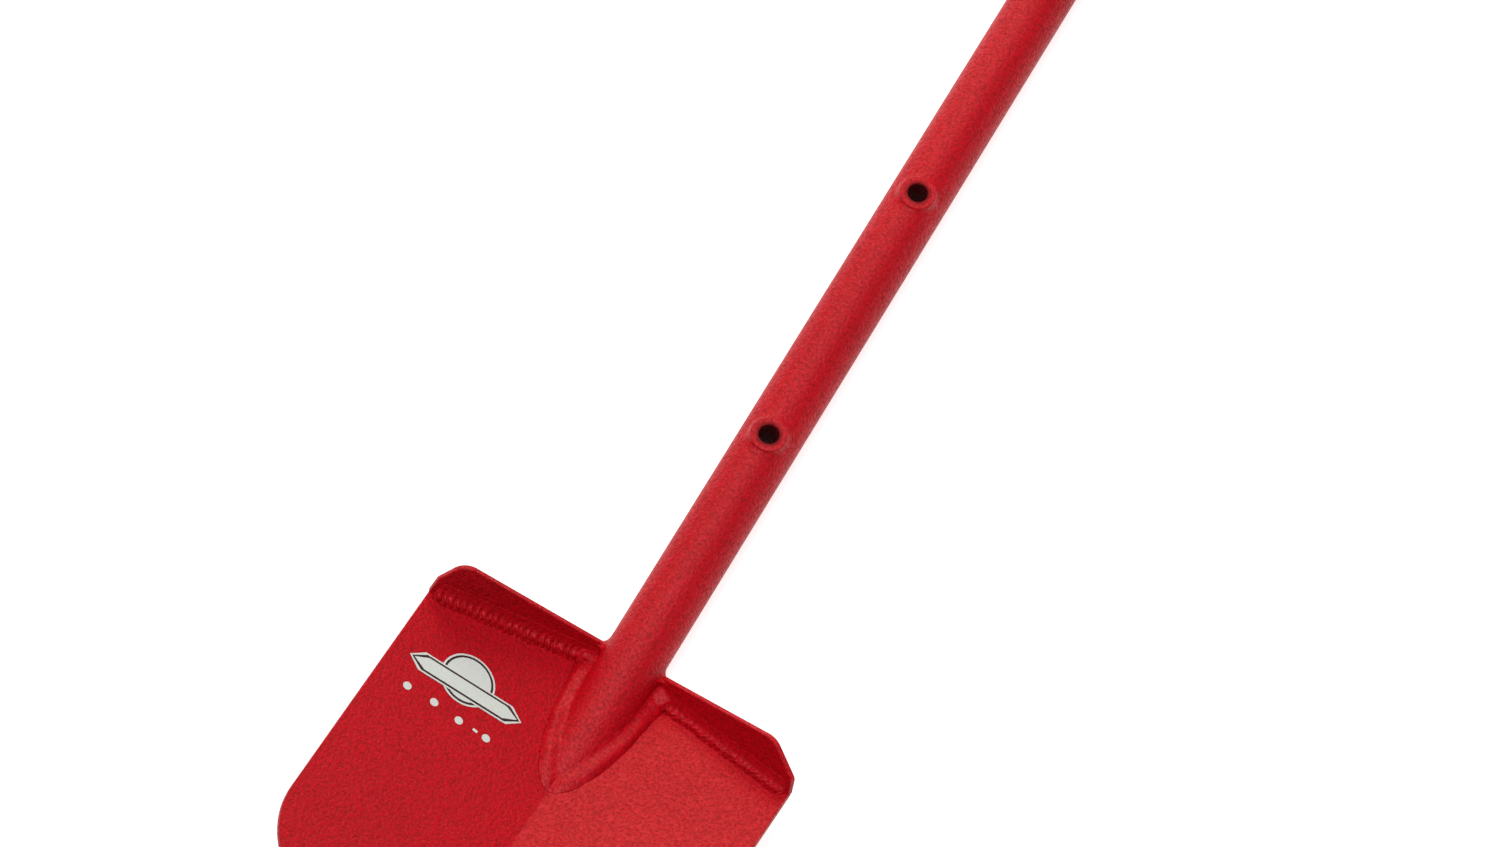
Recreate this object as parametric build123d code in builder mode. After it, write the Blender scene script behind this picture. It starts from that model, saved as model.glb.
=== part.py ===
from build123d import *
import os
from math import sin, cos, tan, radians

os.makedirs("parts", exist_ok=True)

# ---------------------------------------------------------------- sizes (mm)
# handle: 1.25 in steel tube
TUBE_R = 31.75 / 2
TUBE_WALL = 2.1
# grip: 1.5 in cross tube, each end closed by a flat cap with a rounded rim
GRIP_R = 38.1 / 2
GRIP_WALL = 2.1
GRIP_LEN = 121.0
CAP_T = 3.0
CAP_SPIGOT = 8.0
# blade: bent plate, a shallow V that is hollow towards the front (+Z)
PLATE_T = 3.0
LIFT = 21.0            # rise of the crease towards the tip, degrees
DISH = 15.0            # tilt of each half of the V, degrees
HALF_W = 104.0         # each half, crease to side edge, along the plate, at the top
TAPER = 1.6            # how much each side narrows towards the tip, degrees
BEND_R = 3.0           # inside radius of the crease
NOSE_DROP = 0.49       # crease below the tube's top line at the nose
SIDE_END = 95.0        # where the straight sides end, below the nose
CORNER_R = 47.0
CORNER_TURN = 66.0     # degrees turned by each lower corner
TIP_R = 57.2
# foot steps: tapered strips, welded across the top of the blade
STEP_T = 3.0
STEP_SWEEP = 20.5      # slant of each step, outer end towards the tip, degrees
STEP_LEAN = 79.0       # from the plate, degrees
STEP_BASE = 85.0       # along the crease, from the nose up to the step line
STEP_H0 = 9.9
STEP_K = 0.147
STEP_END = 111.0       # outer end, along the step
CORNER_LEFT = 104.0    # where each upper edge turns down to its outer end
CORNER_RIGHT = 95.0
# mounting sleeves, straight through the handle
SLEEVE_R = 9.525
BORE_R = 5.15
SLEEVE_PROUD = 1.2
SLEEVE_Y = (217.0, 377.0)      # lower, upper, above the nose
# weld metal
LEG_UP = 6.0           # step welds, on the step
LEG_OUT = 4.2          # step welds, on the plate
PAD = 1.0              # height of the sleeve welds on the tube
PAD_R = 3.2            # width of the sleeve welds
# placing
FLOOR = GRIP_R                 # tube axis above the floor
GRIP_Y = 741.84                # grip axis above the nose
Y0 = 303.69                    # nose to the middle of the whole length
GAP = 0.02                     # between faces that are curved alike
EASE = 0.4                     # eased plate edges
MOUTH = 0.8                    # rounding of each bore mouth

th, al, lam, be = (radians(v) for v in (LIFT, DISH, STEP_SWEEP, STEP_LEAN))


def at(x, y, z):
    """a place in the tool's frame, from one measured from the nose"""
    return Vector(x, y - Y0, z + FLOOR)


A = Vector(0, -cos(th), sin(th))           # along the crease, to the tip
NF = Vector(0, sin(th), cos(th))           # square to the crease, to the front
XD = Vector(1, 0, 0)
NOSE = at(0, 0, TUBE_R - NOSE_DROP)
RR = XD * cos(al) + NF * sin(al)           # across the right half, outwards
NR = NF * cos(al) - XD * sin(al)           # out of the right half's front face
BD = RR * cos(lam) + A * sin(lam)          # along the right step, outwards
SF = (RR * sin(lam) - A * cos(lam)) * cos(be) + NR * sin(be)   # up the step
SM = BD.cross(SF)                          # out of the step's lower face, to the tip
STEP_O = NOSE - A * STEP_BASE

AXIS = Plane(origin=at(0, 0, 0), x_dir=(1, 0, 0), z_dir=(0, 1, 0))
SECTION = Plane(origin=NOSE - A * 110, x_dir=(1, 0, 0), z_dir=A)
PLATE = Plane(origin=NOSE, x_dir=RR, z_dir=NR)
STEP = Plane(origin=STEP_O, x_dir=BD, z_dir=SM)
GRIP = Plane(origin=at(-GRIP_LEN / 2, GRIP_Y, 0), x_dir=(0, 1, 0), z_dir=(1, 0, 0))

# ---------------------------------------------------------------- blade
EDGE = STEP_T / sin(be) / cos(lam)         # plate beyond the step line
turn = radians(CORNER_TURN)
taper = radians(TAPER)
top_l = STEP_BASE + EDGE - HALF_W * tan(lam)      # the top corner, above the nose
side_l = HALF_W - (SIDE_END + top_l) * tan(taper)
corner_l = side_l - CORNER_R * cos(taper)
corner_s = SIDE_END - CORNER_R * sin(taper)
end_l = corner_l + CORNER_R * cos(turn)
end_s = corner_s + CORNER_R * sin(turn)
mid_l = corner_l + CORNER_R * cos((turn + taper) / 2)
mid_s = corner_s + CORNER_R * sin((turn + taper) / 2)
slope = cos(turn) / sin(turn)
# the tip's arc touches both lower edges
tip_c = end_s + end_l * slope - TIP_R / sin(turn)
touch_l, touch_s = TIP_R * cos(turn), tip_c + TIP_R * sin(turn)
arc_l, arc_s = TIP_R * cos((turn + radians(90)) / 2), tip_c + TIP_R * sin((turn + radians(90)) / 2)
tip_s = tip_c + TIP_R
top = STEP_BASE + EDGE

with BuildPart() as right_half:
    with BuildSketch(SECTION) as vee:
        w = HALF_W + 12
        with BuildLine():
            Polyline(
                (-w * cos(al), w * sin(al)), (0, 0), (w * cos(al), w * sin(al)),
                (w * cos(al) + PLATE_T * sin(al), w * sin(al) - PLATE_T * cos(al)),
                (0, -PLATE_T / cos(al)),
                (-w * cos(al) - PLATE_T * sin(al), w * sin(al) - PLATE_T * cos(al)),
                close=True)
        make_face()
        fillet(vee.vertices().filter_by_position(Axis.X, -0.1, 0.1).sort_by(Axis.Y)[-1:], BEND_R)
        fillet(vee.vertices().filter_by_position(Axis.X, -0.1, 0.1), BEND_R + PLATE_T)
    extrude(amount=110 + tip_s + 20)
    # the right half's outline, square to its own face (y runs up the blade)
    with BuildSketch(PLATE):
        with BuildLine():
            Polyline((0, -tip_s), (-6, -tip_s), (-6, top + 6 * tan(lam)),
                     (HALF_W, top_l), (side_l, -SIDE_END))
            ThreePointArc((side_l, -SIDE_END), (mid_l, -mid_s), (end_l, -end_s))
            Line((end_l, -end_s), (touch_l, -touch_s))
            ThreePointArc((touch_l, -touch_s), (arc_l, -arc_s), (0, -tip_s))
        make_face()
    extrude(amount=90, both=True, mode=Mode.INTERSECT)
    # ease the outline, front and back, all but the edges that the crease runs through
    rim = [e for e in right_half.edges()
           if abs((e @ 0.5 - NOSE).dot(NR)) < 0.01 or abs((e @ 0.5 - NOSE).dot(NR) + PLATE_T) < 0.01]
    chamfer([e for e in rim if (e @ 0).X > 5 or (e @ 1).X > 5], EASE)
    split(bisect_by=Plane.YZ, keep=Keep.TOP)

with BuildPart() as blade:
    add(right_half.part)
    mirror(right_half.part, about=Plane.YZ)

# ---------------------------------------------------------------- foot steps
def foot_step(corner, radius):
    """the right-hand step; corner is how far out its upper edge runs, mm along the step"""
    with BuildPart() as step:
        with BuildSketch(STEP) as strip:
            with BuildLine():
                Polyline((10, -2), (10, STEP_H0 + STEP_K * 10), (corner, STEP_H0 + STEP_K * corner),
                         (STEP_END, 9.5), (STEP_END, -2), close=True)
            make_face()
            fillet(strip.vertices().filter_by_position(Axis.X, corner - 1, corner + 1)
                   .filter_by_position(Axis.Y, 15, 40), radius)
            fillet(strip.vertices().filter_by_position(Axis.X, STEP_END - 0.5, STEP_END + 0.5)
                   .filter_by_position(Axis.Y, 5, 12), 3)
        extrude(amount=-STEP_T)
        # ease the rim: the long upper edge and the outer end, front and back
        chamfer([e for e in step.edges()
                 if abs((e % 0.5).dot(SM)) < 0.5 and (e @ 0.5 - STEP_O).dot(SF) > 3
                 and (e @ 0.5 - STEP_O).dot(BD) > 12], EASE)
        split(bisect_by=PLATE, keep=Keep.TOP)
        with BuildSketch(AXIS):
            Circle(TUBE_R + GAP)
        extrude(amount=200, mode=Mode.SUBTRACT)
    return step.part


# the two steps differ a little at their outer corners
step_right = foot_step(CORNER_RIGHT, 10)
with BuildPart() as step_left_piece:
    mirror(foot_step(CORNER_LEFT, 9), about=Plane.YZ)
step_left = step_left_piece.part

# ---------------------------------------------------------------- handle tube
with BuildPart() as handle_tube:
    with BuildSketch(AXIS.offset(-20)):
        Circle(TUBE_R)
    extrude(amount=GRIP_Y + 20)
    # scarf: everything behind the blade's front faces goes
    with BuildSketch(SECTION.offset(10)) as behind:
        with BuildLine():
            Polyline((-80 * cos(al), 80 * sin(al)), (0, 0), (80 * cos(al), 80 * sin(al)),
                     (80, -90), (-80, -90), close=True)
        make_face()
        fillet(behind.vertices().filter_by_position(Axis.X, -0.1, 0.1), BEND_R)
    extrude(amount=160, mode=Mode.SUBTRACT)
    # saddle cut on the grip
    with BuildSketch(GRIP):
        Circle(GRIP_R)
    extrude(amount=GRIP_LEN, mode=Mode.SUBTRACT)
    # bore of the tube
    with BuildSketch(AXIS.offset(-20)):
        Circle(TUBE_R - TUBE_WALL)
    extrude(amount=GRIP_Y + 20, mode=Mode.SUBTRACT)
    # holes for the mounting sleeves
    for sy in SLEEVE_Y:
        with BuildSketch(Plane(origin=at(0, sy, -TUBE_R - 2))):
            Circle(SLEEVE_R + GAP)
        extrude(amount=2 * TUBE_R + 4, mode=Mode.SUBTRACT)


# ---------------------------------------------------------------- sleeves
def sleeve(sy):
    half = TUBE_R + SLEEVE_PROUD
    with BuildPart() as tube:
        with BuildSketch(Plane(origin=at(0, sy, -half))):
            Circle(SLEEVE_R)
            Circle(BORE_R, mode=Mode.SUBTRACT)
        extrude(amount=2 * half)
        chamfer(tube.edges().filter_by(GeomType.CIRCLE).filter_by(
            lambda e: abs(e.radius - SLEEVE_R) < 0.1), 0.4)
        fillet(tube.edges().filter_by(GeomType.CIRCLE).filter_by(
            lambda e: abs(e.radius - BORE_R) < 0.01), MOUTH)
    return tube.part


def sleeve_ring(sy, front):
    """bead between a sleeve's end and the handle tube"""
    with BuildPart() as ring:
        with BuildSketch(AXIS.offset(sy - 20)):
            Circle(TUBE_R + PAD)
        extrude(amount=40)
        with BuildSketch(Plane(origin=at(0, sy, 0), z_dir=(0, 0, front))):
            Circle(SLEEVE_R + PAD_R)
        extrude(amount=30, mode=Mode.INTERSECT)
        with BuildSketch(AXIS.offset(sy - 20)):
            Circle(TUBE_R + GAP)
        extrude(amount=40, mode=Mode.SUBTRACT)
        with BuildSketch(Plane(origin=at(0, sy, -30))):
            Circle(SLEEVE_R + GAP)
        extrude(amount=60, mode=Mode.SUBTRACT)
    return ring.part


# ---------------------------------------------------------------- grip
with BuildPart() as grip_tube:
    with BuildSketch(GRIP):
        Circle(GRIP_R)
        Circle(GRIP_R - GRIP_WALL, mode=Mode.SUBTRACT)
    extrude(amount=GRIP_LEN)

with BuildPart() as grip_cap_right:
    inner = GRIP_R - GRIP_WALL - GAP
    with BuildSketch(Plane(origin=at(GRIP_LEN / 2, GRIP_Y, 0), x_dir=(1, 0, 0), z_dir=(0, -1, 0))):
        with BuildLine():
            Polyline((-CAP_SPIGOT, 0), (-CAP_SPIGOT, inner), (0, inner), (0, GRIP_R),
                     (0.8, GRIP_R))
            ThreePointArc((0.8, GRIP_R), (CAP_T - 0.9, GRIP_R - 1.4), (CAP_T, GRIP_R - 4.5))
            Line((CAP_T, GRIP_R - 4.5), (CAP_T, 0))
            Line((CAP_T, 0), (-CAP_SPIGOT, 0))
        make_face()
    revolve(axis=Axis(at(0, GRIP_Y, 0), (1, 0, 0)))

with BuildPart() as grip_cap_left:
    mirror(grip_cap_right.part, about=Plane.YZ)

with BuildPart() as grip_weld:
    with BuildSketch(GRIP):
        Circle(GRIP_R + 3.0)
    extrude(amount=GRIP_LEN)
    with BuildSketch(AXIS.offset(GRIP_Y - 40)):
        Circle(TUBE_R + 3.0)
    extrude(amount=40, mode=Mode.INTERSECT)
    with BuildSketch(GRIP):
        Circle(GRIP_R + GAP)
    extrude(amount=GRIP_LEN, mode=Mode.SUBTRACT)
    with BuildSketch(AXIS.offset(GRIP_Y - 60)):
        Circle(TUBE_R + GAP)
    extrude(amount=60, mode=Mode.SUBTRACT)

# ---------------------------------------------------------------- weld metal at the blade


def on_plate(x, y):
    """the point of the right half's front face at this x and y"""
    l = x / cos(al)
    s = (l * sin(al) * sin(th) - y) / cos(th)
    return NOSE + A * s + RR * l


def toe(phi):
    """where the tube's outside meets the plate, phi degrees from the front"""
    x, z = TUBE_R * sin(radians(phi)), TUBE_R * cos(radians(phi))
    l = x / cos(al)
    s = (z - TUBE_R + NOSE_DROP - l * sin(al) * cos(th)) / sin(th)
    return NOSE + A * s + RR * l


def tube_n(phi):
    return Vector(sin(radians(phi)), 0, cos(radians(phi)))


def triangle(root, up, out, sink):
    """weld section: root, a point up the tube or step, a point out on the plate"""
    back = ((up - root) + (out - root)).normalized() * -sink
    p0, p1, p2 = root + back, up, out
    xd = (p2 - p0).normalized()
    zd = xd.cross(p1 - p0).normalized()
    pl = Plane(origin=p0, x_dir=xd, z_dir=zd)
    with BuildSketch(pl) as tri:
        with BuildLine():
            a, b, c = (pl.to_local_coords(p) for p in (p0, p1, p2))
            Polyline((a.X, a.Y), (b.X, b.Y), (c.X, c.Y), close=True)
        make_face()
    return tri.sketch


stations = []
for phi in (0.0, 18, 36, 54, 72):
    p = toe(phi)
    t = XD if phi == 0 else (toe(phi + 1) - toe(phi - 1)).normalized()
    out = NR.cross(t).normalized()
    if phi == 0:
        out = A
    if out.dot(A) < 0:
        out = out * -1
    up = tube_n(phi).cross(t).normalized()
    if up.Y < 0:
        up = up * -1
    stations.append(triangle(p, p + up * (5.0 - phi * 0.02) - tube_n(phi) * 0.8,
                             p + out * (5.0) - NR * 0.8, 1.5))
for phi in (90.0, 108, 124, 138):
    p = toe(phi)
    y = p.Y + Y0
    u = at(TUBE_R * sin(radians(76)), y, TUBE_R * cos(radians(76)))
    stations.append(triangle(p, u - tube_n(76) * 0.8, on_plate(TUBE_R + 4.8, y) - NR * 0.8, 1.5))

with BuildPart() as socket_weld_right:
    loft(stations, ruled=True)
    split(bisect_by=Plane.YZ, keep=Keep.TOP)
    split(bisect_by=PLATE, keep=Keep.TOP)
    split(bisect_by=STEP, keep=Keep.TOP)
    add(blade.part, mode=Mode.SUBTRACT)
    with BuildSketch(AXIS.offset(-60)):
        Circle(TUBE_R + GAP)
    extrude(amount=200, mode=Mode.SUBTRACT)

with BuildPart() as step_weld_right:
    with BuildSketch(Plane(origin=STEP_O + BD * 20, x_dir=SM, z_dir=BD)) as bead:
        g = Plane(origin=STEP_O + BD * 20, x_dir=SM, z_dir=BD)
        up, out = g.to_local_coords(STEP_O + BD * 20 + SF * LEG_UP), g.to_local_coords(
            STEP_O + BD * 20 - (RR * sin(lam) - A * cos(lam)) * LEG_OUT)
        with BuildLine():
            Polyline((0, 0), (up.X, up.Y), (out.X, out.Y), close=True)
        make_face()
    extrude(amount=STEP_END - 20 - 2.5)
    with BuildSketch(AXIS):
        Circle(TUBE_R + 6)
    extrude(amount=200, mode=Mode.SUBTRACT)

with BuildPart() as step_end_weld_right:
    # fillet between the step's inner end and the side of the handle tube
    ends = []
    for up_mm in (-1.0, 6.0, 13.5):
        # the step's lower face meets the tube at this height
        lo, hi = 0.0, 40.0
        for _ in range(60):
            m = (lo + hi) / 2
            q = STEP_O + BD * m + SF * up_mm
            if q.X * q.X + (q.Z - FLOOR) ** 2 < TUBE_R * TUBE_R:
                lo = m
            else:
                hi = m
        q = STEP_O + BD * lo + SF * up_mm
        n = Vector(q.X, 0, q.Z - FLOOR).normalized()
        ends.append(triangle(q, q + BD * 5.4 - SM * 0.6, q - Vector(0, 1, 0) * 5.4 - n * 0.6, 1.0))
    loft(ends, ruled=True)
    split(bisect_by=STEP, keep=Keep.TOP)
    split(bisect_by=PLATE, keep=Keep.TOP)
    add(socket_weld_right.part, mode=Mode.SUBTRACT)
    with BuildSketch(AXIS.offset(-60)):
        Circle(TUBE_R + GAP)
    extrude(amount=200, mode=Mode.SUBTRACT)

with BuildPart() as heel_weld:
    # bead under the handle tube, along the top edge of the plate
    with BuildSketch(Plane(origin=at(0, 0, 0), x_dir=(0, 1, 0), z_dir=(1, 0, 0))):
        y = top * cos(th)
        with BuildLine():
            Polyline((y - 2.5, -14), (y + 4.5, -14), (y + 4.5, -16.1),
                     (y + 0.8, -18.0), (y - 2.5, -18.0), close=True)
        make_face()
    extrude(amount=5.5, both=True)
    add(blade.part, mode=Mode.SUBTRACT)
    with BuildSketch(AXIS.offset(40)):
        Circle(TUBE_R + GAP)
    extrude(amount=100, mode=Mode.SUBTRACT)

with BuildPart() as socket_weld_left:
    mirror(socket_weld_right.part, about=Plane.YZ)
with BuildPart() as step_weld_left:
    mirror(step_weld_right.part, about=Plane.YZ)
with BuildPart() as step_end_weld_left:
    mirror(step_end_weld_right.part, about=Plane.YZ)

# ---------------------------------------------------------------- pieces
blade.part.label = "blade"
step_left.label = "step_left"
step_right.label = "step_right"
handle_tube.part.label = "handle_tube"
sleeve_lower = sleeve(SLEEVE_Y[0])
sleeve_lower.label = "sleeve_lower"
sleeve_upper = sleeve(SLEEVE_Y[1])
sleeve_upper.label = "sleeve_upper"
grip_tube.part.label = "grip_tube"
grip_cap_left.part.label = "grip_cap_left"
grip_cap_right.part.label = "grip_cap_right"
socket_weld_left.part.label = "socket_weld_left"
socket_weld_right.part.label = "socket_weld_right"
step_weld_left.part.label = "step_weld_left"
step_weld_right.part.label = "step_weld_right"
step_end_weld_left.part.label = "step_end_weld_left"
step_end_weld_right.part.label = "step_end_weld_right"
heel_weld.part.label = "heel_weld"
grip_weld.part.label = "grip_weld"
pieces = [blade.part, step_left, step_right, handle_tube.part, sleeve_lower,
          sleeve_upper, grip_tube.part, grip_cap_left.part, grip_cap_right.part,
          socket_weld_left.part, socket_weld_right.part, step_weld_left.part,
          step_weld_right.part, step_end_weld_left.part, step_end_weld_right.part,
          heel_weld.part, grip_weld.part]
for name, sy in (("lower", SLEEVE_Y[0]), ("upper", SLEEVE_Y[1])):
    for side, front in (("front", 1), ("back", -1)):
        ring = sleeve_ring(sy, front)
        ring.label = "sleeve_weld_%s_%s" % (name, side)
        pieces.append(ring)

for piece in pieces:
    export_step(piece, "parts/%s.step" % piece.label)
    bb = piece.bounding_box()
    print("%-26s %d %9.1f %s" % (piece.label, len(piece.solids()), piece.volume, [
        round(v, 2) for v in (bb.min.X, bb.min.Y, bb.min.Z, bb.max.X, bb.max.Y, bb.max.Z)]))
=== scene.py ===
import math
import bpy
import numpy as np
from mathutils import Matrix, Vector, noise


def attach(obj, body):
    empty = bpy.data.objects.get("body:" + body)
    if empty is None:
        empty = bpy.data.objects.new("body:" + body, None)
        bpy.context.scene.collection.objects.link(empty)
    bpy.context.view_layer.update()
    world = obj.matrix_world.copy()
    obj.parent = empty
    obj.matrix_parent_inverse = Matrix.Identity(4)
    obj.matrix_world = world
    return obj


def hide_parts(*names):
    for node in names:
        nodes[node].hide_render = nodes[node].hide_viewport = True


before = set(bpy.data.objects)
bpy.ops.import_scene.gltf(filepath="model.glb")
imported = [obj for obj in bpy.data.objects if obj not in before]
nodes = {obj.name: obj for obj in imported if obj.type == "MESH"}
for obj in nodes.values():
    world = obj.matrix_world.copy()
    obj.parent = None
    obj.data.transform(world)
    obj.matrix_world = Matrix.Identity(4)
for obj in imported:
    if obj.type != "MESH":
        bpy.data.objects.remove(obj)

# ------------------------------------------------------------------ the tool's own measures (mm)
TUBE_R, GRIP_R, GRIP_Y, Y0 = 15.875, 19.05, 741.84, 303.69
LIFT, DISH, SWEEP, LEAN = (math.radians(v) for v in (21.0, 15.0, 20.5, 79.0))
NOSE_DROP, STEP_BASE, STEP_H0, STEP_K, STEP_END = 0.49, 85.0, 9.9, 0.147, 111.0
STEP_T, PLATE_T, BEND_R = 3.0, 3.0, 3.0
SLEEVE_R, SLEEVE_PROUD = 9.525, 1.2
SLEEVE_Y = {"lower": 217.0, "upper": 377.0}
sn, cs, tn = math.sin, math.cos, math.tan


def at(x, y, z):
    return np.array([x, y - Y0, z + GRIP_R], float)


def unit(v):
    return v / np.linalg.norm(v)


A = np.array([0, -cs(LIFT), sn(LIFT)])
NF = np.array([0, sn(LIFT), cs(LIFT)])
XD = np.array([1.0, 0, 0])
NOSE = at(0, 0, TUBE_R - NOSE_DROP)


def across(side):
    return XD * side * cs(DISH) + NF * sn(DISH)


def face_n(side):
    return NF * cs(DISH) - XD * side * sn(DISH)


def on_half(side, l, s, up=0.0):
    """a place on one half of the blade's front: l out from the crease, s towards the tip"""
    return NOSE + A * s + across(side) * l + face_n(side) * up


def step_axes(side):
    r = across(side)
    along = r * cs(SWEEP) + A * sn(SWEEP)
    away = r * sn(SWEEP) - A * cs(SWEEP)
    up = away * cs(LEAN) + face_n(side) * sn(LEAN)
    out = np.cross(along, up) * side
    return along, away, up, out


STEP_O = NOSE - A * STEP_BASE

# ------------------------------------------------------------------ camera
cam_data = bpy.data.cameras.new("camera")
cam = bpy.data.objects.new("camera", cam_data)
bpy.context.collection.objects.link(cam)
cam_data.sensor_width = 36.0
cam_data.lens = 98.335
cam_data.clip_start, cam_data.clip_end = 0.05, 50.0
rot = Matrix(((0.8690378719827107, -0.4824114902323489, 0.10978310959143966),
              (0.48282787888538653, 0.7785498611305821, -0.40092063192680644),
              (0.10793709478580693, 0.4014215587451122, 0.9095110311281794)))
cam.matrix_world = Matrix.Translation((0.2144705900729454, -0.9100833024343455, 1.9040796694253563)) @ rot.to_4x4()
bpy.context.scene.camera = cam
bpy.context.scene.view_settings.view_transform = "Standard"

# ------------------------------------------------------------------ materials


def material(name):
    m = bpy.data.materials.new(name)
    m.use_nodes = True
    nt = m.node_tree
    for n in list(nt.nodes):
        nt.nodes.remove(n)
    out = nt.nodes.new("ShaderNodeOutputMaterial")
    sh = nt.nodes.new("ShaderNodeBsdfPrincipled")
    nt.links.new(sh.outputs["BSDF"], out.inputs["Surface"])
    return m, nt, sh


def noise_tex(nt, coord, scale, detail, rough=0.5):
    n = nt.nodes.new("ShaderNodeTexNoise")
    n.inputs["Scale"].default_value = scale
    n.inputs["Detail"].default_value = detail
    n.inputs["Roughness"].default_value = rough
    nt.links.new(coord, n.inputs["Vector"])
    return n


def ramp(nt, src, stops):
    r = nt.nodes.new("ShaderNodeValToRGB")
    e = r.color_ramp.elements
    while len(e) < len(stops):
        e.new(0.5)
    for k, (p, c) in zip(e, stops):
        k.position = p
        k.color = c
    nt.links.new(src, r.inputs["Fac"])
    return r


def bump(nt, height, strength, dist, below=None):
    b = nt.nodes.new("ShaderNodeBump")
    b.inputs["Strength"].default_value = strength
    b.inputs["Distance"].default_value = dist
    nt.links.new(height, b.inputs["Height"])
    if below is not None:
        nt.links.new(below.outputs["Normal"], b.inputs["Normal"])
    return b


def powder_coat(name, red, deep, grain=1.0, lumps=0.0):
    """textured powder coat: fine sandy grain over a slow orange peel"""
    m, nt, sh = material(name)
    tc = nt.nodes.new("ShaderNodeTexCoord")
    co = tc.outputs["Object"]
    fine = noise_tex(nt, co, 640, 2.5, 0.62)
    peel = noise_tex(nt, co, 190, 2, 0.5)
    slow = noise_tex(nt, co, 9, 3, 0.55)
    # colour: a slow drift, and painted shade darkening the pits between the grains, where the grain bump is low
    drift = ramp(nt, slow.outputs["Fac"], [(0.32, deep), (0.68, red)])
    painted_pit_shade = ramp(nt, fine.outputs["Fac"], [(0.33, (0.60, 0.42, 0.42, 1)), (0.60, (1, 1, 1, 1))])
    mul = nt.nodes.new("ShaderNodeMix")
    mul.data_type = "RGBA"
    mul.blend_type = "MULTIPLY"
    mul.inputs["Factor"].default_value = 1.0
    nt.links.new(drift.outputs["Color"], mul.inputs["A"])
    nt.links.new(painted_pit_shade.outputs["Color"], mul.inputs["B"])
    nt.links.new(mul.outputs["Result"], sh.inputs["Base Color"])
    rg = ramp(nt, fine.outputs["Fac"], [(0.35, (0.58, 0.58, 0.58, 1)), (0.64, (0.36, 0.36, 0.36, 1))])
    nt.links.new(rg.outputs["Color"], sh.inputs["Roughness"])
    b1 = bump(nt, peel.outputs["Fac"], 0.35, 0.0006)
    b2 = bump(nt, fine.outputs["Fac"], 0.9 * grain, 0.0007, b1)
    last = b2
    if lumps:
        lump = noise_tex(nt, co, 330, 2, 0.5)
        last = bump(nt, lump.outputs["Fac"], lumps, 0.0008, b2)
    nt.links.new(last.outputs["Normal"], sh.inputs["Normal"])
    sh.inputs["Specular IOR Level"].default_value = 0.21
    return m


RED = (0.66, 0.0022, 0.013, 1)
DEEP = (0.58, 0.0018, 0.011, 1)
coat = powder_coat("red_powder_coat", RED, DEEP)
coat_weld = powder_coat("red_powder_coat_on_weld", RED, DEEP, grain=0.8, lumps=0.35)


def film(name, colour, rough):
    m, nt, sh = material(name)
    tc = nt.nodes.new("ShaderNodeTexCoord")
    fine = noise_tex(nt, tc.outputs["Object"], 820, 3, 0.6)
    tone = ramp(nt, fine.outputs["Fac"], [(0.3, tuple(c * 0.9 for c in colour[:3]) + (1,)), (0.7, colour)])
    nt.links.new(tone.outputs["Color"], sh.inputs["Base Color"])
    b = bump(nt, fine.outputs["Fac"], 0.35, 0.0003)
    nt.links.new(b.outputs["Normal"], sh.inputs["Normal"])
    sh.inputs["Roughness"].default_value = rough
    return m


def coat_with_painted_dark_bore(name, sy):
    """the coat, turning near-black inside the bore: painted shade standing in for the darkness of the deep hole"""
    m = powder_coat(name, RED, DEEP)
    nt = m.node_tree
    sh = next(n for n in nt.nodes if n.type == "BSDF_PRINCIPLED")
    tc = next(n for n in nt.nodes if n.type == "TEX_COORD")
    sub = nt.nodes.new("ShaderNodeVectorMath")
    sub.operation = "SUBTRACT"
    sub.inputs[1].default_value = (0, (sy - Y0) / 1000, 0)
    nt.links.new(tc.outputs["Object"], sub.inputs[0])
    flat = nt.nodes.new("ShaderNodeVectorMath")
    flat.operation = "MULTIPLY"
    flat.inputs[1].default_value = (1, 1, 0)
    nt.links.new(sub.outputs["Vector"], flat.inputs[0])
    ln = nt.nodes.new("ShaderNodeVectorMath")
    ln.operation = "LENGTH"
    nt.links.new(flat.outputs["Vector"], ln.inputs[0])
    painted_bore_shade_mask = ramp(nt, ln.outputs["Value"], [(0.0052, (1, 1, 1, 1)), (0.0055, (0, 0, 0, 1))])
    mix = nt.nodes.new("ShaderNodeMix")
    mix.data_type = "RGBA"
    old = sh.inputs["Base Color"].links[0].from_socket
    nt.links.new(painted_bore_shade_mask.outputs["Color"], mix.inputs["Factor"])
    nt.links.new(old, mix.inputs["A"])
    # near-black base colour inside the bore radius: painted shade of the deep hole
    mix.inputs["B"].default_value = (0.004, 0.003, 0.003, 1)
    nt.links.new(mix.outputs["Result"], sh.inputs["Base Color"])
    dull = nt.nodes.new("ShaderNodeMix")
    dull.data_type = "FLOAT"
    rg = sh.inputs["Roughness"].links[0].from_socket
    nt.links.new(painted_bore_shade_mask.outputs["Color"], dull.inputs["Factor"])
    nt.links.new(rg, dull.inputs["A"])
    dull.inputs["B"].default_value = 1.0
    nt.links.new(dull.outputs["Result"], sh.inputs["Roughness"])
    return m


film_white = film("emblem_white", (0.74, 0.80, 0.76, 1), 0.5)
film_dark = film("emblem_dark", (0.035, 0.008, 0.010, 1), 0.5)

sleeve_coat_with_painted_dark_bore = {"sleeve_" + k: coat_with_painted_dark_bore("red_powder_coat_sleeve_" + k, y) for k, y in SLEEVE_Y.items()}
for name, o in nodes.items():
    for i in range(max(1, len(o.material_slots))):
        mat = coat_weld if "weld" in name else coat
        if name in ("sleeve_lower", "sleeve_upper"):
            mat = sleeve_coat_with_painted_dark_bore[name]
        if len(o.material_slots) == 0:
            o.data.materials.append(mat)
        else:
            o.material_slots[i].material = mat

# ------------------------------------------------------------------ mesh helpers


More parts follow.
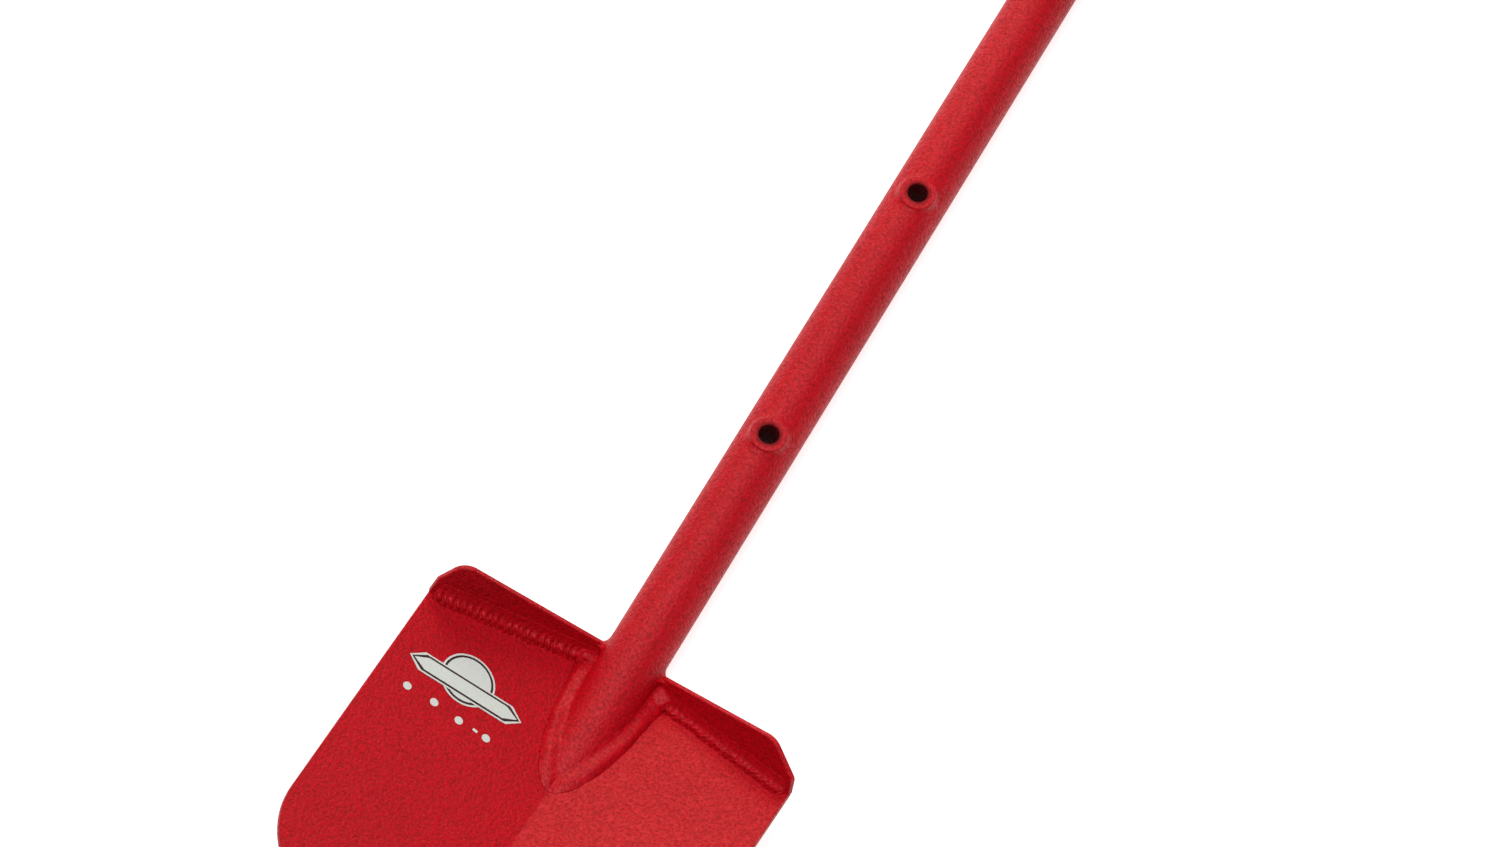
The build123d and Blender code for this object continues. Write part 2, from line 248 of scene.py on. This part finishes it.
def mesh_object(name, verts, faces, mat, smooth=True):
    me = bpy.data.meshes.new(name)
    me.from_pydata([tuple(v * 0.001) for v in verts], [], faces)
    me.validate()
    me.update()
    import bmesh
    bm = bmesh.new()
    bm.from_mesh(me)
    bmesh.ops.recalc_face_normals(bm, faces=bm.faces)
    bm.to_mesh(me)
    bm.free()
    for p in me.polygons:
        p.use_smooth = smooth
    me.materials.append(mat)
    o = bpy.data.objects.new(name, me)
    bpy.context.collection.objects.link(o)
    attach(o, "root")
    return o


def skin(rings, closed=False):
    """closed cross-sections joined into one closed solid"""
    n = len(rings[0])
    verts = [p for r in rings for p in r]
    faces = []
    count = len(rings)
    for i in range(count if closed else count - 1):
        a, b = i * n, ((i + 1) % count) * n
        for j in range(n):
            k = (j + 1) % n
            faces.append((a + j, a + k, b + k, b + j))
    if not closed:
        faces.append(tuple(range(n))[::-1])
        faces.append(tuple((count - 1) * n + j for j in range(n)))
    return verts, faces


def wob(x, y, z, scale, seed=0.0):
    return noise.noise(Vector((x * scale + seed, y * scale - seed, z * scale + 2 * seed)))


def bead_ring(pu, pv, root, dist, pitch, crown, amp, lag, m=15, seed=0.0, sink=0.35, fade=1.0, low=False,
              hollow=0.0, ridge=0.0, ridge_at=0.7, ridge_w=0.22, gather_at=0.80, gather_w=0.20):
    """one cross-section of a fillet bead, from pu round to pv, then back through the root.
    dist is the distance run along the seam, crown the bulge, amp the ripple height, and lag
    how far the crest of each ripple trails behind at the bead's middle. hollow draws the face in
    towards the root, and ridge raises a rounded lip ridge_at of the way across."""
    mid = (pu + pv) / 2
    outward = unit(mid - root)
    wide = np.linalg.norm(pu - pv)
    pts = []
    for i in range(m):
        w = i / (m - 1)
        e = 4 * w * (1 - w)
        p = pu * (1 - w) + pv * w
        p = p + (root - mid) * (hollow * 2 * w * (1 - w))
        ph = 2 * math.pi * (dist - lag * e + 0.5 * pitch * wob(dist, w * 3, seed, 0.22, seed)) / pitch
        # ripples have a sharp trailing lip, as laid metal does
        rip = (abs(math.cos(ph / 2)) ** 0.7) * 2 - 1.2
        # low: the ripples gather in the lower third, and fade out above it
        gather = math.exp(-((w - gather_at) / gather_w) ** 2) if low else min(1.0, e * 1.6)
        h = crown * e ** 1.4 + fade * amp * rip * gather
        if ridge_w:
            h += ridge * math.exp(-((w - ridge_at) / ridge_w) ** 2) * min(1.0, 6 * (1 - w)) * min(1.0, 6 * w)
        elif w > ridge_at:
            # a plain rounded flank from the toe up to the crest
            h += ridge * sn(math.pi / 2 * (1 - w) / (1 - ridge_at))
        else:
            h += ridge * sn(math.pi / 2 * w / ridge_at) ** 2
        h += fade * 0.35 * wob(dist, w * 6, seed + 5, 0.35) * e
        pts.append(p + outward * h)
    inner = root - outward * sink
    pts[0] = pts[0] - outward * 0.06
    pts[-1] = pts[-1] - outward * 0.06
    pts.append(inner)
    return pts


# ------------------------------------------------------------------ step welds
for side, tag in ((-1, "left"), (1, "right")):
    along, away, up, out = step_axes(side)
    rings = []
    b0, b1 = 15.0, 108.6
    # the left bead is the wider one, and its ripples climb further up the step
    leg, amp, at_w, wide = (9.4, 1.05, 0.68, 0.30) if side < 0 else (7.4, 0.85, 0.80, 0.20)
    n = 240
    for i in range(n + 1):
        b = b0 + (b1 - b0) * i / n
        end = min(1.0, (b1 - b) / 3.0)
        end = math.sqrt(max(0.02, 1 - (1 - end) ** 2))
        root = STEP_O + along * b
        ku = (leg + 0.8 * wob(b, side, 0, 0.12, 3.0)) * end
        kv = (4.3 + 0.8 * wob(b, side, 9, 0.16, 7.0) + 0.35 * math.sin(2 * math.pi * b / 3.4)) * end
        pu = root + up * ku
        pv = root - away * kv
        rings.append(bead_ring(pu, pv, root, b, 3.6, 0.0, amp, 2.6, m=27, seed=11.0 + side, fade=end, low=True,
                               gather_at=at_w, gather_w=wide,
                               hollow=0.7, ridge=1.3 * end, ridge_at=0.74, ridge_w=0.22))
    v, f = skin(rings)
    o = mesh_object("step_weld_" + tag + "_bead", v, f, coat_weld)
    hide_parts("step_weld_" + tag)

# ------------------------------------------------------------------ weld round the scarf


def toe(side, phi):
    x, z = TUBE_R * sn(phi), TUBE_R * cs(phi)
    l = x / cs(DISH)
    s = (z - TUBE_R + NOSE_DROP - l * sn(DISH) * cs(LIFT)) / sn(LIFT)
    return on_half(side, l, s)


def on_plate(side, x, y):
    l = x / cs(DISH)
    s = (l * sn(DISH) * sn(LIFT) - y) / cs(LIFT)
    return on_half(side, l, s)


def on_tube(side, phi, y):
    return at(side * TUBE_R * sn(phi), y, TUBE_R * cs(phi))


def socket_station(side, k):
    """k runs 0..1 from the nose to the step"""
    phi_end = math.radians(139)
    phi = phi_end * (k ** 1.15)
    p = toe(side, phi)
    y = p[1] + Y0
    dphi = 0.01
    t = unit(toe(side, phi + dphi) - toe(side, max(0.0, phi - dphi)))
    # the nose's two branches meet square to the crease
    blend = min(1.0, phi / 0.35)
    t = unit(t * blend + XD * side * (1 - blend))
    n_out = np.cross(face_n(side), t)
    if n_out @ A < 0:
        n_out = -n_out
    n_out = unit(n_out * blend + A * (1 - blend))
    s_abs = max(0.0, (p - NOSE) @ (-A))
    leg = 4.6 + 1.3 * math.exp(-s_abs / 14) + 0.0010 * s_abs * s_abs
    if phi < math.radians(86):
        pv = p + n_out * leg
    else:
        pv = None
    xo = TUBE_R + 4.0 + 0.0010 * s_abs * s_abs
    pv2 = on_plate(side, xo, y)
    if pv is None:
        pv = pv2
    else:
        w = min(1.0, max(0.0, (math.degrees(phi) - 60) / 26))
        pv = pv * (1 - w) + pv2 * w
        # back on the plate
        pv = pv - face_n(side) * ((pv - NOSE) @ face_n(side))
    # upper edge, on the tube
    nt = unit(np.array([side * sn(phi), 0, cs(phi)]))
    upd = np.cross(nt, t)
    if upd[1] < 0:
        upd = -upd
    legu = 7.0
    dy = upd[1] * legu
    dc = (upd @ np.array([side * cs(phi), 0, -sn(phi)])) * legu
    phu = phi + dc / TUBE_R
    d = math.degrees(phi)
    if d > 70:
        target = 44 + (d - 70) * 0.9 if d < 88 else 60.2 + (d - 88) * 0.30
        phu2 = math.radians(target)
        w = min(1.0, (d - 70) / 15)
        phu = phu * (1 - w) + phu2 * w
        dy = dy * (1 - w)
    pu = on_tube(side, max(0.0, phu), y + dy)
    return pu, pv, p


def smooth_line(p, w, rounds):
    """moving average along a line, weighted by w, ends kept"""
    p = p.copy()
    for _ in range(rounds):
        q = p.copy()
        q[1:-1] = (p[:-2] + 2 * p[1:-1] + p[2:]) / 4
        p = p * (1 - w) + q * w
    return p


def even(p_list, step):
    """the same lines, sampled evenly along the first one"""
    d = np.r_[0, np.cumsum(np.linalg.norm(np.diff(p_list[0], axis=0), axis=1))]
    t = np.linspace(0, d[-1], int(d[-1] / step) + 1)
    return [np.stack([np.interp(t, d, p[:, c]) for c in range(3)], axis=1) for p in p_list], t


def to_plate(p):
    side = 1 if p[0] >= 0 else -1
    q = p - face_n(side) * ((p - NOSE) @ face_n(side))
    # the crease is rounded, so its floor lies a little higher
    g = abs(q[0]) / (BEND_R * sn(DISH))
    if g < 1:
        q = q + NF * (BEND_R / cs(DISH) - BEND_R) * (1 - g) ** 2
    return q


def to_tube(p):
    r = math.hypot(p[0], p[2] - GRIP_R)
    return np.array([p[0] * TUBE_R / r, p[1], GRIP_R + (p[2] - GRIP_R) * TUBE_R / r])


n = 260
trip = [socket_station(-1, 1 - i / n) for i in range(n)] + [socket_station(1, i / n) for i in range(n + 1)]
lines = [np.array([t[k] for t in trip]) for k in (1, 0, 2)]
(pv_l, pu_l, q_l), run = even(lines, 0.5)
near = np.exp(-(np.linalg.norm(pv_l - NOSE, axis=1) / 20.0) ** 2)[:, None]
pv_l = smooth_line(pv_l, near, 520)
pu_l = smooth_line(pu_l, near, 300)
q_l = smooth_line(q_l, near, 60)
pv_l = smooth_line(pv_l, np.full((len(pv_l), 1), 1.0), 20)
pu_l = smooth_line(pu_l, np.full((len(pu_l), 1), 1.0), 20)
rings = []
for i in range(len(run)):
    pv, pu, root = to_plate(pv_l[i]), to_tube(pu_l[i]), q_l[i]
    side = 1 if pv[0] > 0 else -1
    # the toe wanders a little
    away = unit(pv - pu)
    pv = to_plate(pv + away * 0.5 * wob(run[i], 0, 4, 0.16, 8.0))
    d_nose = float(np.linalg.norm(pv - NOSE))
    up_run = min(1.0, d_nose / 40.0)
    uneven = 1 + 0.35 * wob(run[i], 3, 1, 0.09, 14.0)
    rings.append(bead_ring(pu, pv, root, run[i], 4.8, 0.0, 0.05 + 0.08 * up_run, 2.2, m=25, seed=31.0, sink=0.8,
                           low=True, hollow=0.5 + 0.4 * up_run, ridge=(1.3 + 1.9 * up_run) * uneven,
                           ridge_at=0.64, ridge_w=0))
v, f = skin(rings)
o = mesh_object("socket_weld_bead", v, f, coat_weld)
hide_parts("socket_weld_left", "socket_weld_right")

# ------------------------------------------------------------------ step ends


def step_end_bead(side, tag):
    """the corner between a step's inner end and the handle: up the lower face, over the step's
    top edge and down its back"""
    along, away, up, out = step_axes(side)

    def meet(h, t):
        lo, hi = 0.0, 40.0
        for _ in range(50):
            m = (lo + hi) / 2
            q = STEP_O + along * m + up * h - out * t
            if q[0] ** 2 + (q[2] - GRIP_R) ** 2 < TUBE_R ** 2:
                lo = m
            else:
                hi = m
        return STEP_O + along * lo + up * h - out * t

    def radial(q):
        return unit(np.array([q[0], 0, q[2] - GRIP_R]))

    top = STEP_H0 + STEP_K * 14
    rings = []
    n = 90
    for i in range(n + 1):
        k = i / n
        # round the step's end: front face, top, back face
        if k < 0.42:
            h, t, face = -0.5 + (top + 0.0) * k / 0.42, 0.0, out
            turn = 0.0
        elif k < 0.58:
            g = (k - 0.42) / 0.16
            h, t = top, STEP_T * g
            turn = g * math.pi
            face = out * cs(turn) + up * sn(turn)
        else:
            g = (k - 0.58) / 0.42
            h, t, face = top - (top + 0.5) * g, STEP_T, -out
        face = unit(face)
        root = meet(h, t)
        n_t = radial(root)
        tang = face - n_t * (face @ n_t)
        tang = unit(tang)
        a = along - face * (along @ face)
        pu = root + tang * 5.6
        pu = pu - radial(pu) * 0.0
        # back onto the tube
        c = np.array([pu[0], 0, pu[2] - GRIP_R])
        c = c / np.linalg.norm(c) * TUBE_R
        pu = np.array([c[0], pu[1], c[2] + GRIP_R])
        pv = root + unit(a) * 6.0
        rings.append(bead_ring(pu, pv, root, k * 45, 3.4, 0.0, 0.05, 1.2, seed=51.0 + side, sink=0.8, hollow=0.95))
    v, f = skin(rings)
    o = mesh_object("step_end_weld_" + tag + "_bead", v, f, coat_weld)
    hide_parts("step_end_weld_" + tag)


for side, tag in ((-1, "left"), (1, "right")):
    step_end_bead(side, tag)

# ------------------------------------------------------------------ lumps where the runs stop and start


def lump(name, centre, axes, radii, rough, seed):
    """a rounded, uneven mass of weld metal"""
    rows, cols = 22, 36
    verts = [centre + axes[2] * radii[2]]
    for i in range(1, rows):
        th = math.pi * i / rows
        for j in range(cols):
            ph = 2 * math.pi * j / cols
            d = np.array([sn(th) * cs(ph), sn(th) * sn(ph), cs(th)])
            g = 1 + rough * wob(d[0], d[1], d[2], 2.3, seed) + 0.4 * rough * wob(d[0], d[1], d[2], 6.0, seed)
            verts.append(centre + sum(axes[k] * (d[k] * radii[k] * g) for k in range(3)))
    verts.append(centre - axes[2] * radii[2])
    last = len(verts) - 1
    faces = [(0, 1 + j, 1 + (j + 1) % cols) for j in range(cols)]
    for i in range(rows - 2):
        a, b = 1 + i * cols, 1 + (i + 1) * cols
        faces += [(a + j, b + j, b + (j + 1) % cols, a + (j + 1) % cols) for j in range(cols)]
    a = 1 + (rows - 2) * cols
    faces += [(a + j, last, a + (j + 1) % cols) for j in range(cols)]
    return mesh_object(name, verts, faces, coat_weld)


for side, tag in ((-1, "left"), (1, "right")):
    along, away, up, out = step_axes(side)
    lo, hi = 0.0, 40.0
    for _ in range(50):
        m = (lo + hi) / 2
        q = STEP_O + along * m
        if q[0] ** 2 + (q[2] - GRIP_R) ** 2 < TUBE_R ** 2:
            lo = m
        else:
            hi = m
    corner = STEP_O + along * lo
    flat = unit(-away)
    lump("corner_weld_" + tag, corner + along * 7.8 + up * 3.0 + flat * 2.0, (along, unit(up), flat),
         (9.5, 5.2, 6.2), 0.22, 5.0 + side)

# ------------------------------------------------------------------ heel: plate edge to the handle's underside
rings = []
heel_y = (STEP_BASE + STEP_T / sn(LEAN) / cs(SWEEP)) * cs(LIFT)
for i in range(61):
    x = -5.4 + 10.8 * i / 60
    end = math.sqrt(max(0.03, 1 - (x / 5.5) ** 4))
    root = at(x, heel_y + 0.2, -15.2)
    pu = at(x, heel_y + 0.2 + 4.0 * end, -math.sqrt(TUBE_R ** 2 - x * x) + 0.1)
    pv = at(x, heel_y - 0.9, -15.6 - 2.1 * end)
    rings.append(bead_ring(pu, pv, root, x, 2.4, 0.15 * end, 0.12, 1.0, m=13, seed=17.0, sink=0.4, fade=end))
v, f = skin(rings)
o = mesh_object("heel_weld_bead", v, f, coat_weld)
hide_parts("heel_weld")

# ------------------------------------------------------------------ rings round the sleeves
for where, sy in SLEEVE_Y.items():
    for tag, f_sign in (("front", 1), ("back", -1)):
        rings = []
        n = 180
        for i in range(n):
            a = 2 * math.pi * i / n
            ca, sa = cs(a), sn(a)
            wobble = 0.35 * wob(ca * 4, sa * 4, sy, 0.5, 2.0 + f_sign)
            reach = SLEEVE_R + 3.3 + 0.5 * abs(ca) + wobble
            x1, y1 = SLEEVE_R * ca, SLEEVE_R * sa
            x2, y2 = reach * ca, reach * sa
            z_root = math.sqrt(TUBE_R ** 2 - x1 ** 2)
            z_toe = math.sqrt(TUBE_R ** 2 - x2 ** 2)
            rim = TUBE_R + SLEEVE_PROUD - 0.75
            z_up = min(rim, z_root + 2.6) if abs(x1) > 5 else rim
            z_up = rim - 0.4 * (1 - abs(sa)) ** 2
            root = at(x1, sy + y1, f_sign * z_root)
            pu = at(x1, sy + y1, f_sign * z_up)
            pv = at(x2, sy + y2, f_sign * z_toe)
            rings.append(bead_ring(pu, pv, root, reach * a, 2 * math.pi * reach / 22, 0.0, 0.05, 0.8,
                                   m=13, seed=71.0, sink=0.5, fade=0.6, hollow=0.8))
        v, f = skin(rings, closed=True)
        o = mesh_object("sleeve_weld_%s_%s_bead" % (where, tag), v, f, coat_weld)
        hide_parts("sleeve_weld_%s_%s" % (where, tag))

# ------------------------------------------------------------------ saddle weld at the grip
rings = []
n = 220
for i in range(n):
    a = 2 * math.pi * i / n
    x, z = TUBE_R * cs(a), TUBE_R * sn(a)
    y = GRIP_Y - math.sqrt(GRIP_R ** 2 - z ** 2)
    root = at(x, y, z)
    pu = at(x, y - 4.2, z)
    # out over the grip's surface
    x2, z2 = (TUBE_R + 3.8) * cs(a), (TUBE_R + 2.4) * sn(a)
    y2 = GRIP_Y - math.sqrt(max(0.0, GRIP_R ** 2 - z2 ** 2))
    pv = at(x2, y2, z2)
    rings.append(bead_ring(pu, pv, root, TUBE_R * a, 2 * math.pi * TUBE_R / 28, 0.5, 0.22, 1.8, seed=91.0, sink=0.5))
v, f = skin(rings, closed=True)
o = mesh_object("grip_weld_bead", v, f, coat_weld)
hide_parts("grip_weld")

# ------------------------------------------------------------------ emblem: plain disc, bar and marks


def prism(name, outline, lo, hi, mat, side=-1):
    """a flat film on the left half, from (l, s) outline points"""
    n = len(outline)
    verts = [on_half(side, l, s, lo) for l, s in outline] + [on_half(side, l, s, hi) for l, s in outline]
    faces = [tuple(range(n))[::-1], tuple(range(n, 2 * n))]
    faces += [(j, (j + 1) % n, n + (j + 1) % n, n + j) for j in range(n)]
    return mesh_object(name, verts, faces, mat, smooth=False)


def disc(c, r, n=64):
    return [(c[0] + r * cs(2 * math.pi * i / n), c[1] + r * sn(2 * math.pi * i / n)) for i in range(n)]


def bar(c, length, width, point, tilt):
    """a long bar with pointed ends"""
    h = [(-length / 2, 0), (-length / 2 + point, -width / 2), (length / 2 - point, -width / 2),
         (length / 2, 0), (length / 2 - point, width / 2), (-length / 2 + point, width / 2)]
    t = math.radians(tilt)
    return [(c[0] + x * cs(t) - y * sn(t), c[1] + x * sn(t) + y * cs(t)) for x, y in h]


EC = (63.0, -19.0)
BAR_C = (61.6, -14.2)
TILT = 9.0
for i, (grow, mat) in enumerate(((0.0, film_white), (-1.0, film_dark), (-2.2, film_white))):
    z0, z1 = 0.02, 0.10 + 0.05 * i
    prism("emblem_disc_%d" % i, disc(EC, 14.6 + grow), z0, z1, mat)
for i, (grow, mat) in enumerate(((0.0, film_white), (-0.9, film_dark), (-2.0, film_white))):
    z0, z1 = 0.02, 0.26 + 0.05 * i
    prism("emblem_bar_%d" % i, bar(BAR_C, 64 + 2.6 * grow, 11.5 + 2 * grow, 7.0, TILT), z0, z1, mat)
for i, (l, s, w, h) in enumerate(((84.9, 7.1, 4.4, 4.4), (69.9, 4.6, 4.4, 4.4), (55.2, 3.8, 4.4, 4.4),
                                  (46.0, 2.3, 2.6, 1.4), (39.6, 1.8, 4.4, 4.4))):
    if w > 3:
        pts = disc((l, s), w / 2, 28)
    else:
        pts = [(l - w / 2, s - h / 2), (l + w / 2, s - h / 2), (l + w / 2, s + h / 2), (l - w / 2, s + h / 2)]
    prism("emblem_mark_%d" % i, pts, 0.02, 0.12, film_white)

# ------------------------------------------------------------------ floor and light
floor_me = bpy.data.meshes.new("floor")
floor_me.from_pydata([(-6, -6, 0), (6, -6, 0), (6, 6, 0), (-6, 6, 0)], [], [(0, 1, 2, 3)])
floor = bpy.data.objects.new("floor", floor_me)
bpy.context.collection.objects.link(floor)
fm, nt, sh = material("pale_floor")
sh.inputs["Base Color"].default_value = (0.55, 0.56, 0.56, 1)
sh.inputs["Roughness"].default_value = 0.9
sh.inputs["Specular IOR Level"].default_value = 0.1
sh.inputs["Emission Color"].default_value = (1, 1, 1, 1)
sh.inputs["Emission Strength"].default_value = 0.8
floor_me.materials.append(fm)

world = bpy.data.worlds.new("world")
bpy.context.scene.world = world
world.use_nodes = True
bg = world.node_tree.nodes["Background"]
bg.inputs["Color"].default_value = (1.0, 0.98, 0.98, 1)
bg.inputs["Strength"].default_value = 0.2


def area(name, place, aim, size, power, colour=(1, 1, 1)):
    d = bpy.data.lights.new(name, "AREA")
    d.shape = "RECTANGLE"
    d.size, d.size_y = size
    d.energy = power
    d.color = colour
    o = bpy.data.objects.new(name, d)
    bpy.context.collection.objects.link(o)
    o.location = place
    o.rotation_euler = (Vector(aim) - Vector(place)).to_track_quat("-Z", "Y").to_euler()
    return o


area("key_back_left", (-0.90, 1.37, 0.83), (0, -0.15, 0.03), (1.1, 0.8), 14.8, (1.0, 0.96, 0.78))
area("above", (-0.26, 0.04, 2.38), (0, -0.15, 0.03), (1.1, 1.0), 33.5, (1.0, 0.98, 0.99))
